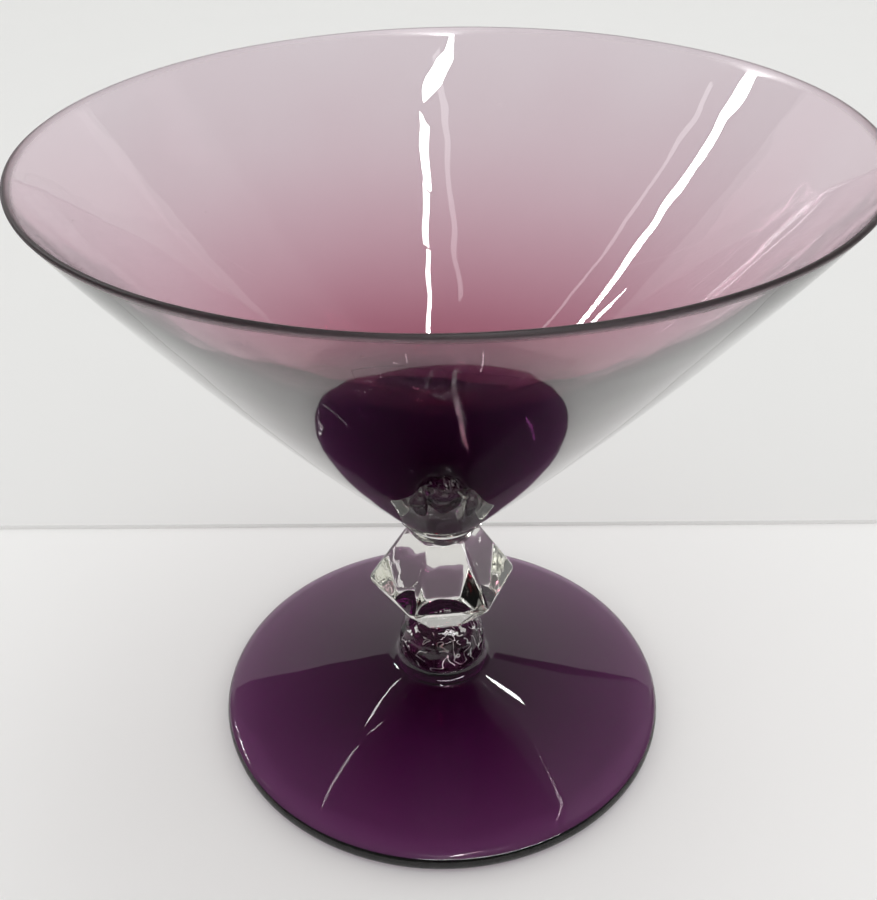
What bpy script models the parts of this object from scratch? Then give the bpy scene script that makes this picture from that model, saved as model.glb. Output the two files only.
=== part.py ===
"""A footed sherbet dish: an amethyst glass bowl on a clear stem with a six-sided knop, and an amethyst foot.

Metres, +Z up. The origin is on the dish's axis, in the plane that the foot stands on.
"""

import math

import bpy

# Foot: a disc with a rolled edge, a coned top and a slightly hollow underside.
FOOT_DIAMETER = 0.0736
FOOT_EDGE_THICKNESS = 0.0032
FOOT_CONE_RISE = 0.0060
FOOT_COVE_RISE = 0.0010
FOOT_COVE_WIDTH = 0.0025
FOOT_SEAT_MARGIN = 0.0001
FOOT_RING_WIDTH = 0.0050
FOOT_HOLLOW_DEPTH = 0.0018

# Stem: a ball that stands on the foot, a six-sided knop and a neck that flares out under the bowl.
BALL_DIAMETER = 0.0142
BALL_CENTRE_RISE = 0.0030
KNOP_TIP_WIDTH = 0.0102
KNOP_WIDTH = 0.0240
KNOP_LOWER_HEIGHT = 0.0080
KNOP_UPPER_HEIGHT = 0.0100
KNOP_TOP_WIDTH = 0.0110
KNOP_EDGE_ROUND = 0.0006
KNOP_TURN = math.radians(6.5)
NECK_DIAMETER = 0.0102
FLARE_HEIGHT = 0.0029
FLARE_SPREAD = 0.0021

# Bowl: a cone with a little swell, thin at the lip and thick at its rounded bottom.
RIM_DIAMETER = 0.1080
BOWL_HEIGHT = 0.0589
WALL_SWELL = 0.0011
LIP_THICKNESS = 0.0007
BASE_THICKNESS = 0.0147
INSIDE_CORNER_RADIUS = 0.0210

# The pieces are fused; this gap keeps their meshes apart.
JOINT_GAP = 0.0003

KNOP_SIDES = 6
BOWL_STEPS = 72
FOOT_STEPS = 72
STEM_STEPS = 48

AMETHYST = (0.115, 0.018, 0.095, 1.0)
CLEAR = (0.86, 0.87, 0.86, 1.0)

# Sizes that follow from the ones above.
ball_radius = BALL_DIAMETER / 2
ball_base_radius = math.sqrt(ball_radius**2 - BALL_CENTRE_RISE**2)
knop_tip_flat = KNOP_TIP_WIDTH / 2 * math.cos(math.pi / KNOP_SIDES)
ball_top_rise = math.sqrt(ball_radius**2 - knop_tip_flat**2)
flare_radius = NECK_DIAMETER / 2 + FLARE_SPREAD

foot_seat_height = FOOT_EDGE_THICKNESS + FOOT_CONE_RISE + FOOT_COVE_RISE
stem_base_height = foot_seat_height + JOINT_GAP
knop_tip_rise = BALL_CENTRE_RISE + ball_top_rise
knop_widest_rise = knop_tip_rise + KNOP_LOWER_HEIGHT
knop_top_rise = knop_widest_rise + KNOP_UPPER_HEIGHT
stem_height = knop_top_rise + FLARE_HEIGHT
bowl_base_height = stem_base_height + stem_height + JOINT_GAP


def arc(centre, radius, first, last, steps):
    """Points on a round stretch of a profile, from one angle to another, in degrees from +X."""
    points = []
    for step in range(steps + 1):
        angle = math.radians(first + (last - first) * step / steps)
        points.append((centre[0] + radius * math.cos(angle), centre[1] + radius * math.sin(angle)))
    return points


def bend(start, corner, end, steps):
    """Points on a curve that leaves start towards corner and comes into end from corner."""
    points = []
    for step in range(steps + 1):
        t = step / steps
        weights = ((1 - t) ** 2, 2 * t * (1 - t), t**2)
        r = weights[0] * start[0] + weights[1] * corner[0] + weights[2] * end[0]
        z = weights[0] * start[1] + weights[1] * corner[1] + weights[2] * end[1]
        points.append((r, z))
    return points


def swelled(start, end, swell, steps):
    """Points on a nearly straight wall that stands out by swell at its middle."""
    middle_r = (start[0] + end[0]) / 2
    middle_z = (start[1] + end[1]) / 2
    run = math.hypot(end[0] - start[0], end[1] - start[1])
    out_r = abs(end[1] - start[1]) / run
    out_z = -abs(end[0] - start[0]) / run
    corner = (middle_r + 2 * swell * out_r, middle_z + 2 * swell * out_z)
    return bend(start, corner, end, steps)


def glass(name, colour):
    material = bpy.data.materials.new(name)
    material.use_nodes = True
    shader = material.node_tree.nodes["Principled BSDF"]
    shader.inputs["Base Color"].default_value = colour
    shader.inputs["Roughness"].default_value = 0.04
    shader.inputs["Metallic"].default_value = 0.0
    shader.inputs["IOR"].default_value = 1.52
    shader.inputs["Transmission Weight"].default_value = 1.0
    material.diffuse_color = colour
    return material


def turned(name, profile, steps, smooth, collection):
    """A piece turned about Z from a profile of (radius, height) points, given down its outer side."""
    mesh = bpy.data.meshes.new(name)
    edges = [(index, index + 1) for index in range(len(profile) - 1)]
    mesh.from_pydata([(r, 0.0, z) for r, z in profile], edges, [])
    piece = bpy.data.objects.new(name, mesh)
    collection.objects.link(piece)
    screw = piece.modifiers.new("turn", "SCREW")
    screw.axis = "Z"
    screw.angle = 2 * math.pi
    screw.steps = steps
    screw.render_steps = steps
    screw.use_smooth_shade = smooth
    screw.use_merge_vertices = True
    screw.merge_threshold = 0.00001
    return piece


def foot_profile():
    """The foot, from the middle of its seat out over the coned top and back along the underside."""
    edge_radius = FOOT_EDGE_THICKNESS / 2
    edge_centre = (FOOT_DIAMETER / 2 - edge_radius, edge_radius)
    seat_radius = ball_base_radius + FOOT_SEAT_MARGIN
    cone_top = (seat_radius + FOOT_COVE_WIDTH, FOOT_EDGE_THICKNESS + FOOT_CONE_RISE)
    slope = FOOT_CONE_RISE / (edge_centre[0] - cone_top[0])
    cove_corner = (seat_radius, cone_top[1] + slope * FOOT_COVE_WIDTH)
    ring_inside = edge_centre[0] - FOOT_RING_WIDTH
    hollow_corner = (ring_inside / 2, FOOT_HOLLOW_DEPTH)
    lean = math.degrees(math.atan(slope))
    points = [(0.0, foot_seat_height)]
    points += bend((seat_radius, foot_seat_height), cove_corner, cone_top, 7)
    points += arc(edge_centre, edge_radius, 90 - lean, -90, 9)
    points += bend((ring_inside, 0.0), hollow_corner, (0.0, FOOT_HOLLOW_DEPTH), 6)
    return points


def stem_profile():
    """The round parts of the stem, from the seat under the bowl down the neck to the ball."""
    neck_radius = NECK_DIAMETER / 2
    flare_top = (flare_radius, stem_height)
    flare_foot = (neck_radius, knop_top_rise)
    flare_corner = (neck_radius, knop_top_rise + FLARE_HEIGHT / 2)
    ball_centre = (0.0, BALL_CENTRE_RISE)
    ball_top = math.degrees(math.atan2(ball_top_rise, knop_tip_flat))
    ball_base = math.degrees(math.atan2(-BALL_CENTRE_RISE, ball_base_radius))
    points = [(0.0, stem_height)]
    points += bend(flare_top, flare_corner, flare_foot, 6)
    points += [(knop_tip_flat, knop_widest_rise)]
    points += arc(ball_centre, ball_radius, ball_top, ball_base, 12)
    points += [(0.0, 0.0)]
    return points


def knop_profile():
    """One corner of the knop, from its flat top out to the widest point and in to its tip."""
    return [
        (0.0, knop_top_rise),
        (KNOP_TOP_WIDTH / 2, knop_top_rise),
        (KNOP_WIDTH / 2, knop_widest_rise),
        (KNOP_TIP_WIDTH / 2, knop_tip_rise),
        (0.0, knop_tip_rise),
    ]


def bowl_profile():
    """The bowl, from the bottom of its inside up to the lip and down the outer wall to its base."""
    lip_radius = LIP_THICKNESS / 2
    lip_centre = (RIM_DIAMETER / 2 - lip_radius, BOWL_HEIGHT - lip_radius)
    inside_bottom = (0.0, BASE_THICKNESS)
    inside_corner = (INSIDE_CORNER_RADIUS, BASE_THICKNESS)
    lean = math.degrees(math.atan2(lip_centre[1] - BASE_THICKNESS, lip_centre[0] - INSIDE_CORNER_RADIUS))
    lip = arc(lip_centre, lip_radius, lean + 90, lean - 90, 6)
    inside = bend(inside_bottom, inside_corner, lip[0], 18)
    outside = swelled(lip[-1], (flare_radius, 0.0), WALL_SWELL, 12)
    return inside + lip[1:] + outside[1:] + [(0.0, 0.0)]


for leftover in list(bpy.data.objects):
    bpy.data.objects.remove(leftover)

dish = bpy.data.collections.new("sherbet_dish")
helpers = bpy.data.collections.new("helpers")
bpy.context.scene.collection.children.link(dish)
bpy.context.scene.collection.children.link(helpers)

centre = bpy.data.objects.new("dish_centre", None)
dish.objects.link(centre)

foot = turned("foot", foot_profile(), FOOT_STEPS, True, dish)
foot.data.materials.append(glass("foot_amethyst_glass", AMETHYST))
foot.parent = centre

stem = turned("stem", stem_profile(), STEM_STEPS, True, dish)
stem.data.materials.append(glass("stem_clear_glass", CLEAR))
stem.parent = centre
stem.location.z = stem_base_height

# The knop is pressed in one with the stem: a six-sided double pyramid with rounded edges.
knop = turned("knop_form", knop_profile(), KNOP_SIDES, False, helpers)
knop.hide_render = True
knop.display_type = "WIRE"
knop.parent = stem
knop.rotation_euler.z = KNOP_TURN
rounding = knop.modifiers.new("round_edges", "BEVEL")
rounding.width = KNOP_EDGE_ROUND
rounding.segments = 3
rounding.limit_method = "ANGLE"
rounding.angle_limit = math.radians(25)
joining = stem.modifiers.new("knop", "BOOLEAN")
joining.operation = "UNION"
joining.solver = "EXACT"
joining.object = knop

bowl = turned("bowl", bowl_profile(), BOWL_STEPS, True, dish)
bowl.data.materials.append(glass("bowl_amethyst_glass", AMETHYST))
bowl.parent = centre
bowl.location.z = bowl_base_height
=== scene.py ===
import math

import bpy
from mathutils import Matrix, Vector


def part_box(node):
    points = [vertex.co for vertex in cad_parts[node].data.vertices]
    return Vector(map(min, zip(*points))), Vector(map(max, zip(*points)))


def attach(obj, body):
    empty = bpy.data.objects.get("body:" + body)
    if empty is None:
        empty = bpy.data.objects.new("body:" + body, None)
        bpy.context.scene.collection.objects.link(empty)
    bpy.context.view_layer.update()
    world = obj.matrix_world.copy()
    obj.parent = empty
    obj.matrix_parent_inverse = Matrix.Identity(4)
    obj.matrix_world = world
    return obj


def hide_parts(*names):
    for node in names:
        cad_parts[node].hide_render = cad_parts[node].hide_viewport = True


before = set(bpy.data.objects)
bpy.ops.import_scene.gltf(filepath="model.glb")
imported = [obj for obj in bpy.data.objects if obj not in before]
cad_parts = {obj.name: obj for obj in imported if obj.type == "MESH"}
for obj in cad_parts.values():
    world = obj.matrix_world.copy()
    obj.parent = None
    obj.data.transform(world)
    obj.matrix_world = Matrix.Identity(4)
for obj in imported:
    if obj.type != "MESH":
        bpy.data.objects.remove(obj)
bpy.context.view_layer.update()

# Foot: a disc of amethyst glass with a rolled edge and a coned top, spun out from a gather and fire
# polished. It stands on a narrow ring round a slightly hollow underside. A nub and a low collar in its
# middle hold the ball of the clear stem, set on hot, with fine seams of air trapped round the nub.
foot_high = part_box("foot")[1]
foot_edge_thickness = 0.0032
foot_cone_rise = 0.0060
foot_seat_radius = 0.00654
foot_cove_width = 0.0025
foot_cove_radius = 0.0074
foot_collar_radius = 0.00683
foot_collar_rise = 0.0013
foot_collar_overlap = 0.00005
foot_collar_steps = 5
foot_nub_radius = 0.0046
foot_nub_rise = 0.0040
foot_ring_width = 0.0050
foot_hollow_depth = 0.0018
foot_wave_length = 0.012
foot_wave_height = 0.00003
foot_turn_steps = 256

# The ball at the stem's lower end, which the collar follows.
stem_low, stem_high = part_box("stem")
ball_radius = 0.0071
ball_centre_rise = 0.0030
ball_centre_height = stem_low.z + ball_centre_rise


def arc(centre, radius, first, last, steps):
    """Points on a round stretch of a profile, from one angle to another, in degrees from +X."""
    points = []
    for step in range(steps + 1):
        angle = math.radians(first + (last - first) * step / steps)
        points.append((centre[0] + radius * math.cos(angle), centre[1] + radius * math.sin(angle)))
    return points


def bend(start, corner, end, steps):
    """Points on a curve that leaves start towards corner and comes into end from corner."""
    points = []
    for step in range(steps + 1):
        t = step / steps
        weights = ((1 - t) ** 2, 2 * t * (1 - t), t**2)
        r = weights[0] * start[0] + weights[1] * corner[0] + weights[2] * end[0]
        z = weights[0] * start[1] + weights[1] * corner[1] + weights[2] * end[1]
        points.append((r, z))
    return points


def chain(name, points):
    """A row of points (x, y, z) joined by edges, left selected in edit mode."""
    start_size = 0.001
    bpy.ops.object.select_all(action="DESELECT")
    bpy.ops.mesh.primitive_plane_add(size=start_size)
    piece = bpy.context.object
    piece.name = name
    piece.data.name = name
    bpy.ops.object.mode_set(mode="EDIT")
    bpy.ops.mesh.select_all(action="SELECT")
    bpy.ops.mesh.merge(type="CENTER")
    bpy.ops.transform.translate(value=points[0])
    for point, following in zip(points, points[1:]):
        step = Vector(following) - Vector(point)
        bpy.ops.mesh.extrude_vertices_move(TRANSFORM_OT_translate={"value": step})
    bpy.ops.mesh.select_all(action="SELECT")
    return piece


def turned(name, profile, steps):
    """Spins a profile of (radius, height) points about the dish's axis into a closed, smooth piece."""
    merge_distance = 0.000002
    piece = chain(name, [(r, 0, z) for r, z in profile])
    bpy.ops.mesh.spin(steps=steps, angle=2 * math.pi, center=(0, 0, 0), axis=(0, 0, 1))
    bpy.ops.mesh.select_all(action="SELECT")
    bpy.ops.mesh.remove_doubles(threshold=merge_distance)
    bpy.ops.mesh.normals_make_consistent(inside=False)
    bpy.ops.object.mode_set(mode="OBJECT")
    bpy.ops.object.shade_smooth()
    return piece


def make_uneven(piece, wave_length, wave_height):
    """Gives a piece the faint waves of glass that was worked by hand."""
    waves = bpy.data.textures.new(piece.name + "_waves", "CLOUDS")
    waves.noise_scale = wave_length
    waves.noise_depth = 0
    bpy.context.view_layer.objects.active = piece
    modifier = piece.modifiers.new("waves", "DISPLACE")
    modifier.texture = waves
    modifier.texture_coords = "LOCAL"
    modifier.strength = 2 * wave_height
    modifier.mid_level = 0.5
    bpy.ops.object.modifier_apply(modifier="waves")


foot_edge_radius = foot_edge_thickness / 2
foot_edge_centre = (foot_high.x - foot_edge_radius, foot_edge_radius)
foot_cone_top = (foot_seat_radius + foot_cove_width, foot_edge_thickness + foot_cone_rise)
foot_slope = foot_cone_rise / (foot_edge_centre[0] - foot_cone_top[0])
foot_lean = math.degrees(math.atan(foot_slope))
foot_cove_rise = foot_slope * (foot_cone_top[0] - foot_cove_radius)
foot_cove_corner = (foot_cove_radius, foot_cone_top[1] + foot_cove_rise)
foot_collar_top = (foot_collar_radius, foot_high.z + foot_collar_rise)
foot_nub_top = foot_high.z + foot_nub_rise
foot_nub_corner = (foot_nub_radius, foot_nub_top)
foot_ring_inside = foot_edge_centre[0] - foot_ring_width
foot_hollow_corner = (foot_ring_inside / 2, foot_hollow_depth)
foot_roll = arc(foot_edge_centre, foot_edge_radius, 90 - foot_lean, -90, steps=24)

foot_profile = bend((0.0, foot_nub_top), foot_nub_corner, (foot_nub_radius, foot_high.z), steps=12)
for step in range(foot_collar_steps + 1):
    height = foot_high.z + foot_collar_rise * step / foot_collar_steps
    ball_reach = math.sqrt(ball_radius**2 - (ball_centre_height - height) ** 2)
    foot_profile += [(ball_reach - foot_collar_overlap, height)]
foot_profile += bend(foot_collar_top, foot_cove_corner, foot_cone_top, steps=16)
foot_profile += bend(foot_cone_top, foot_cone_top, foot_roll[0], steps=20)[1:-1]
foot_profile += foot_roll
foot_profile += bend((foot_ring_inside, 0.0), foot_hollow_corner, (0.0, foot_hollow_depth), steps=24)
foot = turned("amethyst_foot", foot_profile, foot_turn_steps)
make_uneven(foot, foot_wave_length, foot_wave_height)


class Tone:
    """One socket of a material's nodes, so that shader maths is written as an expression."""

    def __init__(self, tree, output):
        self.tree = tree
        self.output = output

    def node(self, kind, settings, sockets, output=0):
        """Adds a node of this type, sets it up, fills or links its sockets, and gives one output."""
        added = self.tree.nodes.new(kind)
        for name, value in settings.items():
            setattr(added, name, value)
        for name, value in sockets.items():
            if isinstance(value, Tone):
                self.tree.links.new(value.output, added.inputs[name])
            else:
                added.inputs[name].default_value = value
        return Tone(self.tree, added.outputs[output])

    def into(self, socket):
        self.tree.links.new(self.output, socket)

    def maths(self, operation, first, second):
        return self.node("ShaderNodeMath", {"operation": operation}, {0: first, 1: second})

    def __add__(self, other):
        return self.maths("ADD", self, other)

    def __sub__(self, other):
        return self.maths("SUBTRACT", self, other)

    def __rsub__(self, other):
        return self.maths("SUBTRACT", other, self)

    def __mul__(self, other):
        return self.maths("MULTIPLY", self, other)

    __radd__ = __add__
    __rmul__ = __mul__


def noise(place, scale, detail):
    return place.node("ShaderNodeTexNoise", {}, {"Vector": place, "Scale": scale, "Detail": detail})


def mixed(share, first, second):
    """The first colour where the share is 0 and the second where it is 1."""
    colours = {"Factor": share, "A": (*first, 1.0), "B": (*second, 1.0)}
    return share.node("ShaderNodeMix", {"data_type": "RGBA"}, colours, output=2)


def height_of(place):
    """How high a place is above the table."""
    return place.node("ShaderNodeSeparateXYZ", {}, {0: place}, "Z")


def reach_of(place):
    """How far a place is from the dish's axis."""
    level_share = (1.0, 1.0, 0.0)
    across = place.node("ShaderNodeVectorMath", {"operation": "MULTIPLY"}, {0: place, 1: level_share})
    return place.node("ShaderNodeVectorMath", {"operation": "LENGTH"}, {0: across}, "Value")


def glass(name, absorbed, ripple, ripple_height, fused):
    """Polished glass that takes this much light, in each colour, from every millimetre that a ray crosses.

    It has a faint ripple and a few specks of dust. Where it is fused to its neighbour it has no surface:
    each such place is a lowest height, a highest and a radius.
    """
    glass_bending = 1.52
    dust_scale = 170.0
    dust_size = 0.018
    dust_clear_share = 0.6
    dust_roughness = 0.4
    mm_in_metre = 1000
    material = bpy.data.materials.new(name)
    material.use_nodes = True
    tree = material.node_tree
    shader = tree.nodes["Principled BSDF"]
    shader.inputs["Base Color"].default_value = (1.0, 1.0, 1.0, 1.0)
    shader.inputs["IOR"].default_value = glass_bending
    shader.inputs["Transmission Weight"].default_value = 1.0
    place = Tone(tree, tree.nodes.new("ShaderNodeTexCoord").outputs["Object"])
    cells = {"Vector": place, "Scale": dust_scale}
    speck = place.node("ShaderNodeTexVoronoi", {}, cells)
    cell_colour = place.node("ShaderNodeTexVoronoi", {}, cells, "Color")
    chosen = place.node("ShaderNodeSeparateColor", {}, {"Color": cell_colour})
    dusty_cell = place.maths("GREATER_THAN", chosen, dust_clear_share)
    dust = place.maths("LESS_THAN", speck, dust_size) * dusty_cell
    (dust * dust_roughness).into(shader.inputs["Roughness"])
    swirl = noise(place, 1 / ripple, 1.0)
    bump = place.node("ShaderNodeBump", {}, {"Strength": 1.0, "Distance": ripple_height, "Height": swirl})
    bump.into(shader.inputs["Normal"])
    height = height_of(place)
    radius = reach_of(place)
    surface = 1.0
    for lowest, highest, reach in fused:
        within = place.maths("GREATER_THAN", height, lowest) * place.maths("LESS_THAN", height, highest)
        surface = surface - within * place.maths("LESS_THAN", radius, reach)
    surface.into(shader.inputs["Alpha"])
    strongest = max(absorbed)
    left = [1 - share / strongest for share in absorbed]
    density = mm_in_metre * strongest
    depth = place.node("ShaderNodeVolumeAbsorption", {}, {"Color": (*left, 1.0), "Density": density})
    depth.into(tree.nodes["Material Output"].inputs["Volume"])
    return material


def places(material):
    """The place of each point of a piece with this material."""
    tree = material.node_tree
    return Tone(tree, tree.nodes["Texture Coordinate"].outputs["Object"])


def present(material, node, socket):
    """What feeds this socket of a material's node so far."""
    tree = material.node_tree
    return Tone(tree, tree.nodes[node].inputs[socket].links[0].from_socket)


foot_absorbed = (0.166, 0.33, 0.178)
foot_ripple = 0.004
foot_ripple_height = 0.000004
joint_margin = 0.0001
foot_joint_inset = 0.00003
nub_seam_rise = 0.0003
nub_seam_margin = 0.0002
# The next three values make a painted purple sheen on the fused nub, where the glass has no real surface: a
# faint rough purple metal coat that stands in for the foot's colour seen through the ball.
nub_painted_sheen_colour = (0.45, 0.07, 0.30)
nub_painted_sheen_share = 0.12
nub_painted_sheen_roughness = 0.4
seam_tint = (1.0, 1.0, 1.0)
seam_scale = 480.0
seam_middle = 0.5
seam_width = 0.0002
seam_break_scale = 700.0
seam_broken_share = 0.50

foot_joint_radius = foot_collar_radius - foot_joint_inset
foot_joint = (foot_high.z - joint_margin / 2, foot_nub_top + joint_margin, foot_joint_radius)
foot_glass = glass("foot_amethyst", foot_absorbed, foot_ripple, foot_ripple_height, [foot_joint])
foot_shader = foot_glass.node_tree.nodes["Principled BSDF"]
foot_place = places(foot_glass)
above_seat = foot_place.maths("GREATER_THAN", height_of(foot_place), foot_high.z + nub_seam_rise)
within_nub = foot_place.maths("LESS_THAN", reach_of(foot_place), foot_nub_radius + nub_seam_margin)
on_nub = above_seat * within_nub
creases = noise(foot_place, seam_scale, 1.0) - seam_middle
unbroken = foot_place.maths("GREATER_THAN", noise(foot_place, seam_break_scale, 0.0), seam_broken_share)
seams = on_nub * foot_place.maths("LESS_THAN", creases * creases, seam_width) * unbroken
# Over the fused nub the surface becomes that painted purple sheen, a faint purple metal coat, with the
# white metal seams on top of it.
foot_unfused = present(foot_glass, "Principled BSDF", "Alpha")
foot_surface_and_painted_sheen = foot_unfused + on_nub * nub_painted_sheen_share + seams * (1 - nub_painted_sheen_share)
foot_roughness = present(foot_glass, "Principled BSDF", "Roughness") + on_nub * nub_painted_sheen_roughness
foot_tint_and_painted_sheen = mixed(1.0 - on_nub + seams, nub_painted_sheen_colour, seam_tint)
foot_surface_and_painted_sheen.into(foot_shader.inputs["Alpha"])
foot_roughness.into(foot_shader.inputs["Roughness"])
foot_tint_and_painted_sheen.into(foot_shader.inputs["Base Color"])
on_nub.into(foot_shader.inputs["Metallic"])
foot.data.materials.append(foot_glass)
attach(foot, "root")
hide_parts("foot")

# Stem: clear glass pressed in a mould, with a ball that stands on the foot, a six-sided knop with softened
# edges, and a short neck that flares into a round seat under the bowl. It is fused to both, and the ball is
# dimpled where it was worked hot.
fusing_depth = 0.0003
knop_sides = 6
knop_tip_width = 0.0102
knop_width = 0.0240
knop_top_width = 0.0110
knop_lower_height = 0.0080
knop_upper_height = 0.0100
knop_edge_round = 0.0006
knop_turn = math.radians(6.5)
knop_smooth_angle = math.radians(32)
neck_radius = 0.0051
flare_height = 0.0029
flare_spread = 0.0021
stem_turn_steps = 128

knop_tip_flat = knop_tip_width / 2 * math.cos(math.pi / knop_sides)
knop_tip_height = ball_centre_height + math.sqrt(ball_radius**2 - knop_tip_flat**2)
knop_widest_height = knop_tip_height + knop_lower_height
knop_top_height = knop_widest_height + knop_upper_height
seat_radius = neck_radius + flare_spread
stem_foot_height = foot_high.z - fusing_depth
stem_foot_radius = math.sqrt(ball_radius**2 - (ball_centre_height - stem_foot_height) ** 2)
ball_first = math.degrees(math.atan2(knop_tip_height - ball_centre_height, knop_tip_flat))
ball_last = -math.degrees(math.atan2(ball_centre_height - stem_foot_height, stem_foot_radius))
stem_seat_height = stem_high.z + 2 * fusing_depth
flare_corner = (neck_radius, knop_top_height + flare_height / 2)

stem_profile = [(0.0, stem_seat_height), (seat_radius, stem_seat_height)]
stem_profile += bend((seat_radius, stem_high.z), flare_corner, (neck_radius, knop_top_height), steps=20)
stem_profile += [(knop_tip_flat, knop_widest_height)]
stem_profile += arc((0.0, ball_centre_height), ball_radius, ball_first, ball_last, steps=40)
stem_profile += [(0.0, stem_foot_height)]
stem = turned("clear_stem", stem_profile, stem_turn_steps)

bpy.ops.object.select_all(action="DESELECT")
knop_height = knop_lower_height + knop_upper_height
bpy.ops.mesh.primitive_cylinder_add(
    vertices=knop_sides,
    radius=knop_width / 2,
    depth=knop_height,
    location=(0, 0, knop_tip_height + knop_height / 2),
    rotation=(0, 0, math.pi / knop_sides + knop_turn),
)
knop = bpy.context.object
knop.name = "knop"
bpy.ops.object.transform_apply(location=True, rotation=True, scale=True)
bpy.ops.object.mode_set(mode="EDIT")
bpy.ops.mesh.select_all(action="SELECT")
bpy.ops.mesh.bisect(plane_co=(0, 0, knop_widest_height), plane_no=(0, 0, 1))
bpy.ops.object.mode_set(mode="OBJECT")


def resize_end(piece, height, factor):
    """Draws in the corners of a piece that lie at one height."""
    same_height = 0.00001
    for vertex in piece.data.vertices:
        vertex.select = abs(vertex.co.z - height) < same_height
    bpy.ops.object.mode_set(mode="EDIT")
    bpy.ops.mesh.select_mode(type="VERT")
    bpy.ops.transform.resize(value=(factor, factor, 1), center_override=(0, 0, height))
    bpy.ops.mesh.select_all(action="DESELECT")
    bpy.ops.object.mode_set(mode="OBJECT")


for polygon in knop.data.polygons:
    polygon.select = False
for edge in knop.data.edges:
    edge.select = False
resize_end(knop, knop_top_height, knop_top_width / knop_width)
resize_end(knop, knop_tip_height, knop_tip_width / knop_width)
bpy.ops.object.mode_set(mode="EDIT")
bpy.ops.mesh.select_all(action="SELECT")
bpy.ops.mesh.bevel(offset=knop_edge_round, segments=4, profile=0.5)
bpy.ops.mesh.normals_make_consistent(inside=False)
bpy.ops.object.mode_set(mode="OBJECT")

bpy.ops.object.select_all(action="DESELECT")
stem.select_set(True)
bpy.context.view_layer.objects.active = stem
joining = stem.modifiers.new("knop", "BOOLEAN")
joining.operation = "UNION"
joining.solver = "EXACT"
joining.object = knop
bpy.ops.object.modifier_apply(modifier="knop")
bpy.data.objects.remove(knop)
bpy.ops.object.shade_smooth_by_angle(angle=knop_smooth_angle)
facets = stem.modifiers.new("flat_facets", "WEIGHTED_NORMAL")
facets.keep_sharp = True
bpy.ops.object.modifier_apply(modifier="flat_facets")

stem_absorbed = (0.003, 0.003, 0.005)
stem_ripple = 0.0025
stem_ripple_height = 0.00004
dimple_scale = 600.0
dimple_depth = 12.0
collar_joint_margin = 0.00007
collar_joint_radius = foot_collar_radius + collar_joint_margin
stem_joints = [
    (stem_foot_height - joint_margin, foot_high.z + foot_collar_rise, collar_joint_radius),
    (stem_high.z + fusing_depth, stem_seat_height + joint_margin, seat_radius + joint_margin),
]
stem_glass = glass("clear_pressed", stem_absorbed, stem_ripple, stem_ripple_height, stem_joints)
stem_place = places(stem_glass)
on_ball = stem_place.maths("LESS_THAN", height_of(stem_place), knop_tip_height)
dimples = on_ball * noise(stem_place, dimple_scale, 0.0) * dimple_depth
stem_swirl = present(stem_glass, "Bump", "Height")
(stem_swirl + dimples).into(stem_glass.node_tree.nodes["Bump"].inputs["Height"])
stem.data.materials.append(stem_glass)
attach(stem, "root")
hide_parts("stem")

# Bowl: a wide cone of amethyst glass with a faint swell, blown thin at the soft fire-polished lip and thick
# and deeper tinted at the bottom. The rim is a little out of level and turns in slightly, the outer wall is
# the more polished one, and the base is fused to the seat of the stem.
bowl_low, bowl_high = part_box("bowl")
bowl_radius = bowl_high.x
wall_top_thickness = 0.0007
wall_swell = 0.0011
wall_wave_length = 0.014
wall_wave_height = 0.00004
wall_lean = 0.70
lip_turn_in = 0.00033
lip_turn_height = 0.012
rim_tilt = math.radians(0.93)
bowl_base_thickness = 0.0147
inside_corner_radius = 0.0210
bowl_turn_steps = 256


def swelled(start, end, swell, steps):
    """Points on a nearly straight wall that stands out by swell at its middle."""
    middle_r = (start[0] + end[0]) / 2
    middle_z = (start[1] + end[1]) / 2
    run = math.hypot(end[0] - start[0], end[1] - start[1])
    out_r = abs(end[1] - start[1]) / run
    out_z = -abs(end[0] - start[0]) / run
    corner = (middle_r + 2 * swell * out_r, middle_z + 2 * swell * out_z)
    return bend(start, corner, end, steps)


def turned_in(r, z):
    """A point of the bowl's profile, drawn in towards the lip."""
    up_lip = max(0.0, (z - bowl_high.z + lip_turn_height) / lip_turn_height)
    return (r - lip_turn_in * up_lip**2, z)


lip_radius = wall_top_thickness / 2
lip_centre = (bowl_radius - lip_radius + lip_turn_in, bowl_high.z - lip_radius)
inside_floor = bowl_low.z + bowl_base_thickness
inside_lean = math.degrees(math.atan2(lip_centre[1] - inside_floor, lip_centre[0] - inside_corner_radius))
bowl_lip = arc(lip_centre, lip_radius, inside_lean + 90, inside_lean - 90, steps=16)
bowl_profile = bend((0.0, inside_floor), (inside_corner_radius, inside_floor), bowl_lip[0], steps=80)
bowl_profile += bowl_lip[1:]
bowl_profile += swelled(bowl_lip[-1], (seat_radius, bowl_low.z), wall_swell, steps=76)[1:]
bowl_profile += [(0.0, bowl_low.z)]
bowl = turned("amethyst_bowl", [turned_in(r, z) for r, z in bowl_profile], bowl_turn_steps)
make_uneven(bowl, wall_wave_length, wall_wave_height)

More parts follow.
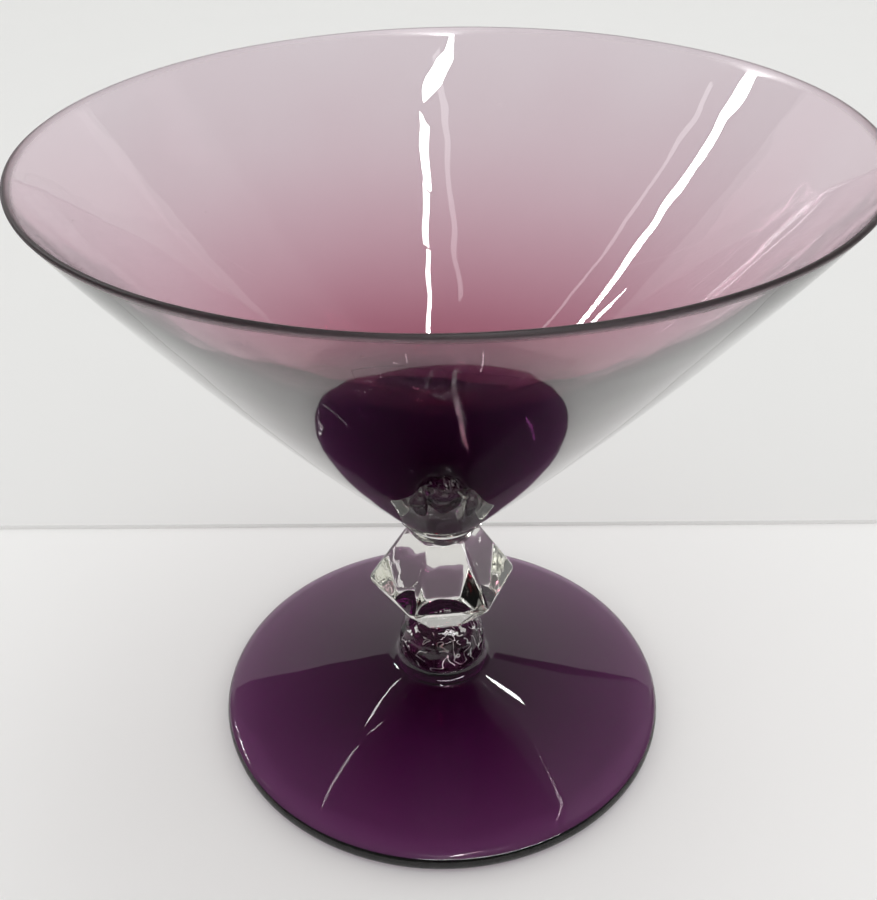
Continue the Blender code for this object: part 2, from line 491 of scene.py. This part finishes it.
polish_bottom = 0.0460
polish_top = 0.0985
polish_fade = 0.0100
lip = bowl.data.attributes.new("lip", "FLOAT", "POINT")
for vertex in bowl.data.vertices:
    lip.data[vertex.index].value = 1.0 if vertex.co.z > lip_centre[1] - lip_radius else 0.0
for vertex in bowl.data.vertices:
    up_wall = max(0.0, (vertex.co.z - bowl_low.z) / (bowl_high.z - bowl_low.z))
    rise = math.tan(rim_tilt) * vertex.co.x * up_wall**2
    spread = 1 + wall_lean * rise / max(math.hypot(vertex.co.x, vertex.co.y), lip_radius)
    vertex.co.x *= spread
    vertex.co.y *= spread
    vertex.co.z += rise
outside = bowl.data.attributes.new("outside", "FLOAT", "POINT")
for vertex in bowl.data.vertices:
    reach = min(polish_top - vertex.co.z, vertex.co.z - polish_bottom) / polish_fade
    outside.data[vertex.index].value = min(1.0, max(0.0, reach)) if vertex.normal.z < 0 else 0.0

bowl_absorbed = (0.128, 0.304, 0.248)
bowl_ripple = 0.010
bowl_ripple_height = 0.00008
wall_polish = 0.8
lip_softness = 0.45
thick_tint = (0.35, 0.80, 1.0)
thin_tint = (0.935, 0.945, 0.975)
thick_top = 0.048
thin_bottom = 0.058

bowl_joint_radius = seat_radius - joint_margin / 2
bowl_joint = (bowl_low.z - 2 * joint_margin, bowl_low.z + 2 * joint_margin, bowl_joint_radius)
bowl_glass = glass("bowl_amethyst", bowl_absorbed, bowl_ripple, bowl_ripple_height, [bowl_joint])
bowl_shader = bowl_glass.node_tree.nodes["Principled BSDF"]
bowl_shader.inputs["Coat Roughness"].default_value = 0.0
bowl_place = places(bowl_glass)
rising = {"Value": height_of(bowl_place), "From Min": thick_top, "From Max": thin_bottom}
thin_share = bowl_place.node("ShaderNodeMapRange", {}, rising)
mixed(thin_share, thick_tint, thin_tint).into(bowl_shader.inputs["Base Color"])
bowl_dust = present(bowl_glass, "Principled BSDF", "Roughness")
on_lip = bowl_place.node("ShaderNodeAttribute", {"attribute_name": "lip"}, {}, "Fac")
on_outside = bowl_place.node("ShaderNodeAttribute", {"attribute_name": "outside"}, {}, "Fac")
(bowl_dust + on_lip * lip_softness).into(bowl_shader.inputs["Roughness"])
(on_outside * wall_polish).into(bowl_shader.inputs["Coat Weight"])
bowl.data.materials.append(bowl_glass)
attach(bowl, "root")
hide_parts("bowl")

# Table and backdrop: two sheets of plain pale card. The dish stands on the front one. The back one starts
# just behind it, with its edge a little raised, and sweeps up into a low wall.
floor_height = -0.0001
floor_reach = 1.5
sheet_overlap = 0.02
sheet_edge_distance = 0.0473
sheet_edge_turn = math.radians(0.53)
sheet_lift = 0.0008
sheet_settle_distance = 0.03
sheet_settle_share = 0.6
backdrop_distance = 1.20
backdrop_height = 1.04
backdrop_cove = 0.15
table_colour = (0.89, 0.89, 0.88)
backdrop_colour = (0.80, 0.80, 0.79)


def card(name, colour):
    """Pale uncoated card with a faint grain."""
    grain_scale = 30.0
    grain_detail = 4.0
    grain_shade = 0.985
    card_roughness = 0.9
    card_shine = 0.1
    material = bpy.data.materials.new(name)
    material.use_nodes = True
    tree = material.node_tree
    shader = tree.nodes["Principled BSDF"]
    shader.inputs["Roughness"].default_value = card_roughness
    shader.inputs["Specular IOR Level"].default_value = card_shine
    place = Tone(tree, tree.nodes.new("ShaderNodeTexCoord").outputs["Object"])
    shaded = [grain_shade * channel for channel in colour]
    grain = noise(place, grain_scale, grain_detail)
    mixed(grain, shaded, colour).into(shader.inputs["Base Color"])
    return material


def sheet(name, profile, colour):
    """A wide sheet of card. Its profile's (distance, height) points count from where the sheets meet."""
    piece = chain(name, [(-floor_reach, distance, height) for distance, height in profile])
    bpy.ops.mesh.extrude_edges_move(TRANSFORM_OT_translate={"value": (2 * floor_reach, 0, 0)})
    bpy.ops.mesh.select_all(action="SELECT")
    bpy.ops.transform.rotate(value=-sheet_edge_turn, orient_axis="Z", center_override=(0, 0, 0))
    bpy.ops.transform.translate(value=(0, sheet_edge_distance, 0))
    bpy.ops.object.mode_set(mode="OBJECT")
    piece.data.materials.append(card(name, colour))


sheet("table_card", [(-floor_reach, floor_height), (sheet_overlap, floor_height)], table_colour)
sheet_settled = (sheet_settle_distance, sheet_lift * sheet_settle_share)
sweep = [(0.0, floor_height), (0.0, sheet_lift), sheet_settled]
sweep += arc((backdrop_distance - backdrop_cove, backdrop_cove), backdrop_cove, -90, 0, steps=8)
sweep += [(backdrop_distance, backdrop_height)]
sheet("backdrop_card", sweep, backdrop_colour)

# Light: an even white room, which the glass mirrors dimmer than it lights the card, and a broad soft lamp
# from the back right. Tubes and windows that only the glass shows hang round the dish, some of them in
# short lengths, so that their streaks are broken as in blown glass.
room_colour = (1.0, 1.0, 0.995, 1.0)
room_level = 0.95
mirrored_level = 0.15
half_bounce = 0.5
world = bpy.data.worlds.new("room")
bpy.context.scene.world = world
world.use_nodes = True
room = world.node_tree
path = room.nodes.new("ShaderNodeLightPath")
shine = Tone(room, path.outputs["Is Glossy Ray"])
mirrors = shine.maths("GREATER_THAN", Tone(room, path.outputs["Glossy Depth"]), half_bounce)
matt = shine.maths("GREATER_THAN", Tone(room, path.outputs["Diffuse Depth"]), half_bounce)
level = room_level - shine * mirrors * (1.0 - matt) * (room_level - mirrored_level)
room.nodes["Background"].inputs["Color"].default_value = room_colour
level.into(room.nodes["Background"].inputs["Strength"])


def lamp(name, place, along, size, radiance, use):
    """A flat lamp at this place that faces the dish, with its long side running this way.

    Its use is to light the card, to reach the card through the glass, or only to be seen in the glass.
    """
    bpy.ops.object.light_add(type="AREA", location=place)
    light = bpy.context.object
    light.name = name
    away = Vector(place).normalized()
    side = Vector(along).cross(away).normalized()
    light.rotation_mode = "QUATERNION"
    light.rotation_quaternion = Matrix((side, away.cross(side), away)).transposed().to_quaternion()
    light.data.shape = "RECTANGLE"
    light.data.size = size[0]
    light.data.size_y = size[1]
    light.data.energy = radiance * math.pi * size[0] * size[1]
    light.visible_camera = False
    light.visible_diffuse = use == "card"
    light.visible_glossy = use != "card"
    light.visible_transmission = use != "card"
    if use == "card":
        return
    light.data.use_nodes = True
    nodes = light.data.node_tree
    path = nodes.nodes.new("ShaderNodeLightPath")
    card_first = Tone(nodes, path.outputs["Diffuse Depth"])
    test = "GREATER_THAN" if use == "through" else "LESS_THAN"
    strength = card_first.maths(test, card_first, half_bounce)
    strength.into(nodes.nodes["Emission"].inputs["Strength"])


soft_place = (0.50, 0.45, 1.60)
soft_size = (1.1, 1.1)
soft_level = 0.9
ceiling = 1.20
tube_level = 45
twin_level = 3
lamp("soft_lamp", soft_place, (0, 1, 0), soft_size, soft_level, "card")
lamp("soft_lamp_through_glass", soft_place, (0, 1, 0), soft_size, soft_level, "through")
lamp("front_tube", (0.102, -0.1375, ceiling), (0.04, 1, 0), (0.036, 0.475), tube_level, "glass")
lamp("front_tube_middle", (0.106, -0.4385, ceiling), (0.04, 1, 0), (0.048, 0.087), tube_level, "glass")
lamp("front_tube_far", (0.094, -0.5195, ceiling), (0.04, 1, 0), (0.044, 0.059), tube_level, "glass")
lamp("front_tube_end", (0.020, -0.640, ceiling), (0.134, 0.07, 0), (0.036, 0.17), tube_level, "glass")
lamp("front_twin", (-0.075, -0.44, ceiling), (-0.12, 0.30, 0), (0.032, 0.46), twin_level, "glass")
lamp("left_tube", (-1.30, 0.74, ceiling), (0.248, 0.201, 0), (0.068, 0.38), tube_level, "glass")
lamp("left_twin", (-1.07, 0.385, ceiling), (1, 0.03, 0), (0.033, 0.30), twin_level, "glass")
lamp("far_left_tube", (-1.28, 1.03, ceiling), (0.102, -0.085, 0), (0.04, 0.15), tube_level, "glass")
lamp("back_left_tube", (-0.44, 0.50, ceiling), (0, 1, 0), (0.010, 0.30), 12, "glass")
lamp("back_right_tube", (0.345, 0.43, ceiling), (0.1, 1, 0), (0.012, 0.24), 25, "glass")
lamp("window", (0.50, 0.72, ceiling), (0, 1, 0), (0.050, 0.03), 30, "glass")
lamp("window_glow", (0.88, 0.70, ceiling), (0, 1, 0), (1.0, 1.0), 0.25, "glass")
lamp("front_window", (0.50, -1.20, 0.74), (1, 0, 0), (0.12, 1.60), 12, "glass")

# Camera: hand held close to the dish, looking down at it from the front, and a little out of true.
camera_place = Vector((0.0, -0.14191, 0.14618))
camera_yaw = math.radians(0.20)
camera_pitch = math.radians(33.88)
camera_roll = math.radians(-0.18)
focal_pixels = 1139.6
frame_height = 900
film_width = 36.0
nearest_seen = 0.005
bpy.ops.object.camera_add()
camera = bpy.context.object
camera.data.sensor_width = film_width
camera.data.lens = film_width * focal_pixels / frame_height
camera.data.clip_start = nearest_seen
level_right = Vector((math.cos(camera_yaw), math.sin(camera_yaw), 0))
level_ahead = Vector((-math.sin(camera_yaw), math.cos(camera_yaw), 0))
up = Vector((0, 0, 1))
ahead = level_ahead * math.cos(camera_pitch) - up * math.sin(camera_pitch)
upright = level_ahead * math.sin(camera_pitch) + up * math.cos(camera_pitch)
right = level_right * math.cos(camera_roll) + upright * math.sin(camera_roll)
above = upright * math.cos(camera_roll) - level_right * math.sin(camera_roll)
facing = Matrix((right, above, -ahead)).transposed().to_4x4()
camera.matrix_world = Matrix.Translation(camera_place) @ facing
bpy.context.scene.camera = camera

scene = bpy.context.scene
scene.view_settings.view_transform = "Standard"
scene.cycles.max_bounces = 24
scene.cycles.transmission_bounces = 24
scene.cycles.glossy_bounces = 12
